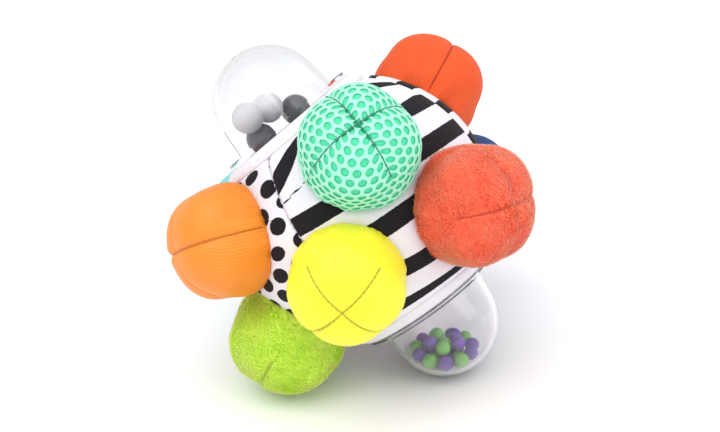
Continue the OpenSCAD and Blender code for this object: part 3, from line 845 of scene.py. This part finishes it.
def cover_panel(first, last):
    """Points, faces, latitudes and longitudes of one panel, with round openings for the bumps and the domes."""
    columns, rows = int((last - first) / 1.1) + 1, 100
    lon, lat = np.meshgrid(np.linspace(first, last, columns), np.linspace(-55, 55, rows))
    lon, lat = lon.ravel(), lat.ravel()
    out = on_sphere(np.radians(lat), np.radians(lon))
    faces = grid_faces(rows, columns)
    nearest = np.full(len(out), 99.0)
    keep = np.ones(len(faces), bool)
    gather = np.zeros(len(out))
    for axis, size in holes:
        angle = np.arccos(np.clip(out @ axis, -1, 1))
        keep &= ~(angle[faces] < size).all(1)
    for axis, size in holes:
        angle = np.arccos(np.clip(out @ axis, -1, 1))
        inside = angle < size
        sideways = out - (out @ axis)[:, None] * axis
        sideways /= np.maximum(np.linalg.norm(sideways, axis=1, keepdims=True), 1e-9)
        out = np.where(inside[:, None], math.cos(size) * axis + math.sin(size) * sideways, out)
        beyond = (np.maximum(angle, size) - size) * BALL_R
        other = ASKEW - axis * np.dot(ASKEW, axis)
        east = np.cross(axis, other)
        round_it = np.arctan2(sideways @ east, sideways @ other)
        gather += 0.14 * np.cos(34 * round_it) * np.exp(-beyond / 2.5) * (size < 0.5)
        nearest = np.minimum(nearest, beyond)
    from_seam = np.minimum(lon - first, last - lon) * np.cos(np.radians(lat)) * DEGREE
    swell = 0.5 - 1.5 * np.exp(-nearest / 1.6) - 0.9 * bell(from_seam, 0.8) + gather
    used, again = np.unique(faces[keep], return_inverse=True)
    points = out * (BALL_R + swell)[:, None]
    lat_now, lon_now = np.degrees(np.arcsin(out[:, 2])), np.degrees(np.arctan2(out[:, 1], out[:, 0]))
    middle = (first + last) / 2
    lon_now = (lon_now - middle + 180) % 360 - 180 + middle
    return points[used], again.reshape(-1, 4), lat_now[used], lon_now[used]


for name, (first, last, pattern) in PANELS.items():
    kind = name.split("_")[0]
    points, faces, lat, lon = cover_panel(first, last)
    away = wave_print(lat, lon, pattern) if kind == "striped" else oval_print(lat, lon, first, last, pattern)
    piece = new_piece(name + "_cloth", points, faces[:, ::-1], printed_cotton)
    face_out(piece, 0)
    number = piece.data.attributes.new("print", "FLOAT", "POINT")
    number.data.foreach_set("value", away.astype(np.float32))
    wall = piece.modifiers.new("thickness", "SOLIDIFY")
    wall.thickness, wall.offset = COVER_T / 1000, -1.0
    stand_in(piece, (name,))
    print(name, "points:", len(points))

# %% [markdown]
# ## Stitches
# The panels meet in seams that run from dome to dome, and each strip is sewn on along its outer edge. A polyline marks
# each seam, and Geometry Nodes lay a short rounded stitch at every step along it. The darts of the mint net are sewn
# in the same way, with a dark thread and stitches that touch.


# %% Stitches
def polylines(name, lines):
    """A mesh of edges only, along lines of points of the upright ball."""
    first = np.cumsum([0] + [len(line) for line in lines])
    edges = [(a + k, a + k + 1) for a, line in zip(first, lines) for k in range(len(line) - 1)]
    mesh = bpy.data.meshes.new(name)
    mesh.from_pydata(to_frame(np.vstack(lines)).tolist(), edges, [])
    return mesh


tree, given = new_tree("seam_stitches", ("Step", "Stitch", "Thread"))
path = add(tree, "GeometryNodeMeshToCurve", [given["Mesh"]])
steps = add(tree, "GeometryNodeResampleCurve", {"Curve": path, "Length": given["Step"]}, mode="LENGTH")
tangent = add(tree, "GeometryNodeInputTangent")
ways = add(tree, "FunctionNodeAlignRotationToVector", {"Vector": tangent}, axis="Z")
bead = add(tree, "GeometryNodeMeshUVSphere", {"Segments": 6, "Rings": 5})
sides = add(tree, "ShaderNodeCombineXYZ", {"X": given["Thread"], "Y": given["Thread"], "Z": given["Stitch"]})
shape = add(tree, "GeometryNodeTransform", {"Geometry": bead, "Scale": sides})
laid = add(tree, "GeometryNodeInstanceOnPoints", {"Points": steps, "Instance": shape, "Rotation": ways})
finish_tree(tree, laid, given)

lines = []
for seam in (-41, 57, 150, 240):
    lat = np.radians(np.linspace(-50, 50, 240))
    out = on_sphere(lat, math.radians(seam))
    free = np.min([np.arccos(np.clip(out @ axis, -1, 1)) - size for axis, size in holes], axis=0) > 0.025
    for run in np.split(np.arange(len(lat)), np.flatnonzero(np.diff(free.astype(int))) + 1):
        if free[run[0]] and len(run) > 3:
            lines.append(out[run] * (BALL_R - 0.35))
t = np.linspace(0, tau, 241)
rim = np.stack([(STRIP_R - 0.9) * np.cos(t), (STRIP_R - 0.9) * np.sin(t), np.full_like(t, RIM_H + 1.35)], -1)
lines += [rim @ at_place(p).T for p in DOMES.values()]
# A spun polyester thread is matt, with the faint mottle of its twist
TWIST, MATT = {"Scale": 2.5, "Detail": 2.0}, {"Roughness": 0.6, "Sheen Weight": 0.1}
white_thread = mottled("white_polyester_thread", TWIST, "#B4B0BC", "#E2E0E8", MATT)
teal_thread = mottled("dark_teal_polyester_thread", TWIST, "#0E6A58", "#1F9078", MATT)
grow("cover_stitches", polylines("seam_lines", lines), tree, {
    "Step": 0.0024, "Stitch": 0.0009, "Thread": 0.00017, "Material": white_thread,
})
grow("mint_dart_stitches", polylines("dart_lines", net_darts), tree, {
    "Step": 0.0012, "Stitch": 0.0008, "Thread": 0.0003, "Material": teal_thread,
})

# %% [markdown]
# ## Stuffing inside the cover
# Through the clear domes one sees white fibre. It is one lumpy pad that fills the ball and is flat under each dome.

# %% Wadding
wadding = mottled("polyester_fibre_wadding", {"Scale": 0.7, "Detail": 5.0, "Distortion": 1.5}, "#EEEEF1", "#FFFFFF", {
    "Roughness": 0.95,
}, (0.6, 0.001))
rows, columns = 49, 96
lat, lon = np.meshgrid(
    np.radians(np.linspace(-88, 88, rows)), np.linspace(0, tau, columns, endpoint=False), indexing="ij"
)
out = on_sphere(lat, lon).reshape(-1, 3)
far = np.full(len(out), BALL_R - 2.6)
# It stays inside the cover and is flat under each dome and each bump
for places, flat_h in ((DOMES, CORE_FLAT_H), (PLACES, BASE_H - 3.2)):
    for p in places.values():
        far = np.minimum(far, flat_h / np.maximum(out @ (at_place(p) @ (0, 0, 1)), 1e-3))
lat, lon = lat.ravel(), lon.ravel()
far -= 0.4 * (1 + np.cos(9 * lon + 5 * lat) * np.cos(7 * lat - 3 * lon))
points = np.vstack([out * far[:, None], (0, 0, -far[0]), (0, 0, far[-1])])
faces = round_faces(rows, columns, False)
last = (rows - 1) * columns
faces += [((c + 1) % columns, c, rows * columns) for c in range(columns)]
faces += [(last + c, last + (c + 1) % columns, rows * columns + 1) for c in range(columns)]
core = new_piece("core_wadding", points, faces, wadding)
stand_in(core, ("core_filling",))
print("wadding faces:", len(core.data.polygons))

# %% [markdown]
# ## The white strips
# A strip of plain white cloth runs round each dome: it is sewn to the cover outside and clamped under the clear
# flange inside. Its section is drawn once and turned round the dome's axis, with slight gathers along the seam.

# %% White strips
white_cotton = mottled("white_cotton_strip", {"Scale": 1.3, "Detail": 3.0}, "#D6D3DC", "#EBE9EE", {
    "Roughness": 0.85,
}, (0.3, 0.0003))
# Radius and height of each corner of the section
SECTION = np.array([
    (STRIP_R - 0.6, RIM_H - 0.9), (STRIP_R + 0.1, RIM_H - 0.3), (STRIP_R, RIM_H + 0.5), (STRIP_R - 0.7, RIM_H + 1.3),
    (33.0, 42.3), (31.6, 43.5), (30.4, 44.3), (29.75, 44.3), (29.4, 43.9), (28.6, 43.85), (LIP_R + 0.2, 43.85),
    (LIP_R, 43.5), (LIP_R + 0.2, 43.15), (29.0, 43.1), (30.6, 42.9), (32.2, 41.4), (33.2, 40.2),
])
turns = np.linspace(0, tau, 240, endpoint=False)[:, None]
# The corners on the outside, by the seam, are the ones that gather
gathers = np.isin(np.arange(len(SECTION)), (2, 3, 4)) * 0.10 * np.cos(46 * turns + 1.3 * np.sin(5 * turns))
reach, height = SECTION[:, 0] + gathers, SECTION[:, 1] + gathers
ring = np.stack([reach * np.cos(turns), reach * np.sin(turns), height], -1).reshape(-1, 3)
for name, p in DOMES.items():
    faces = round_faces(len(turns), len(SECTION), True)
    strip = new_piece(name + "_white_strip", ring @ at_place(p).T, faces, white_cotton)
    # A face on the outside of the section
    face_out(strip, 4)
    stand_in(strip, (name + "_strip",))
    print(strip.name, "faces:", len(strip.data.polygons))

# %% [markdown]
# ## The plastics
# The domes and their discs are clear acrylic, moulded with a high polish. The balls and beads are glossy moulded
# plastic. Their CAD shapes are right as they are, so they only get their finish.

# %% Plastic finishes
clear, tree = blank("clear_acrylic")
flow = add(tree, NOISE, {"Vector": in_mm(tree), "Scale": 0.06, "Detail": 1.0})
shade(tree, {
    "Base Color": linear("#FBFBFD"), "Roughness": 0.03, "IOR": 1.49, "Transmission Weight": 1.0,
}, (flow, 0.05, 0.0005))


def moulded(name, dark, light, roughness, milky=0.0):
    """A glossy moulded plastic with faint clouds of pigment and a faint unevenness in its polish."""
    material, tree = blank(name)
    clouds, tone = mottle(tree, {"Scale": 0.14, "Detail": 3.0}, dark, light)
    polish = add(tree, "ShaderNodeMapRange", {"Value": clouds, "To Min": roughness - 0.08, "To Max": roughness + 0.08})
    # A milky plastic scatters light a few millimetres below its skin
    shade(tree, {
        "Base Color": tone, "Roughness": polish, "IOR": 1.5,
        "Subsurface Weight": milky, "Subsurface Radius": (1.0, 1.0, 1.0), "Subsurface Scale": 0.003,
    })
    return material


FINISHES = [
    (clear, ("upper_dome", "upper_disc", "lower_dome", "lower_disc")),
    (moulded("white_polypropylene", "#E4E4E8", "#F2F2F4", 0.45), ("upper_ring", "lower_ring")),
    (moulded("white_ball_plastic", "#F8F8FA", "#FFFFFF", 0.3, 0.8), ("rattle_ball_white_a", "rattle_ball_white_b")),
    (moulded("dark_ball_plastic", "#1C1E2C", "#33364A", 0.3), ("rattle_ball_dark_a", "rattle_ball_dark_b")),
    (moulded("purple_bead_plastic", "#7A52BC", "#9C78D8", 0.35, 0.4), ("purple_beads",)),
    (moulded("green_bead_plastic", "#84D860", "#A8EE84", 0.35, 0.4), ("green_beads",)),
]
for material, nodes in FINISHES:
    for node in nodes:
        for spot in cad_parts[node].material_slots:
            spot.material = material
print("CAD nodes with a new finish:", sum(len(nodes) for _, nodes in FINISHES))
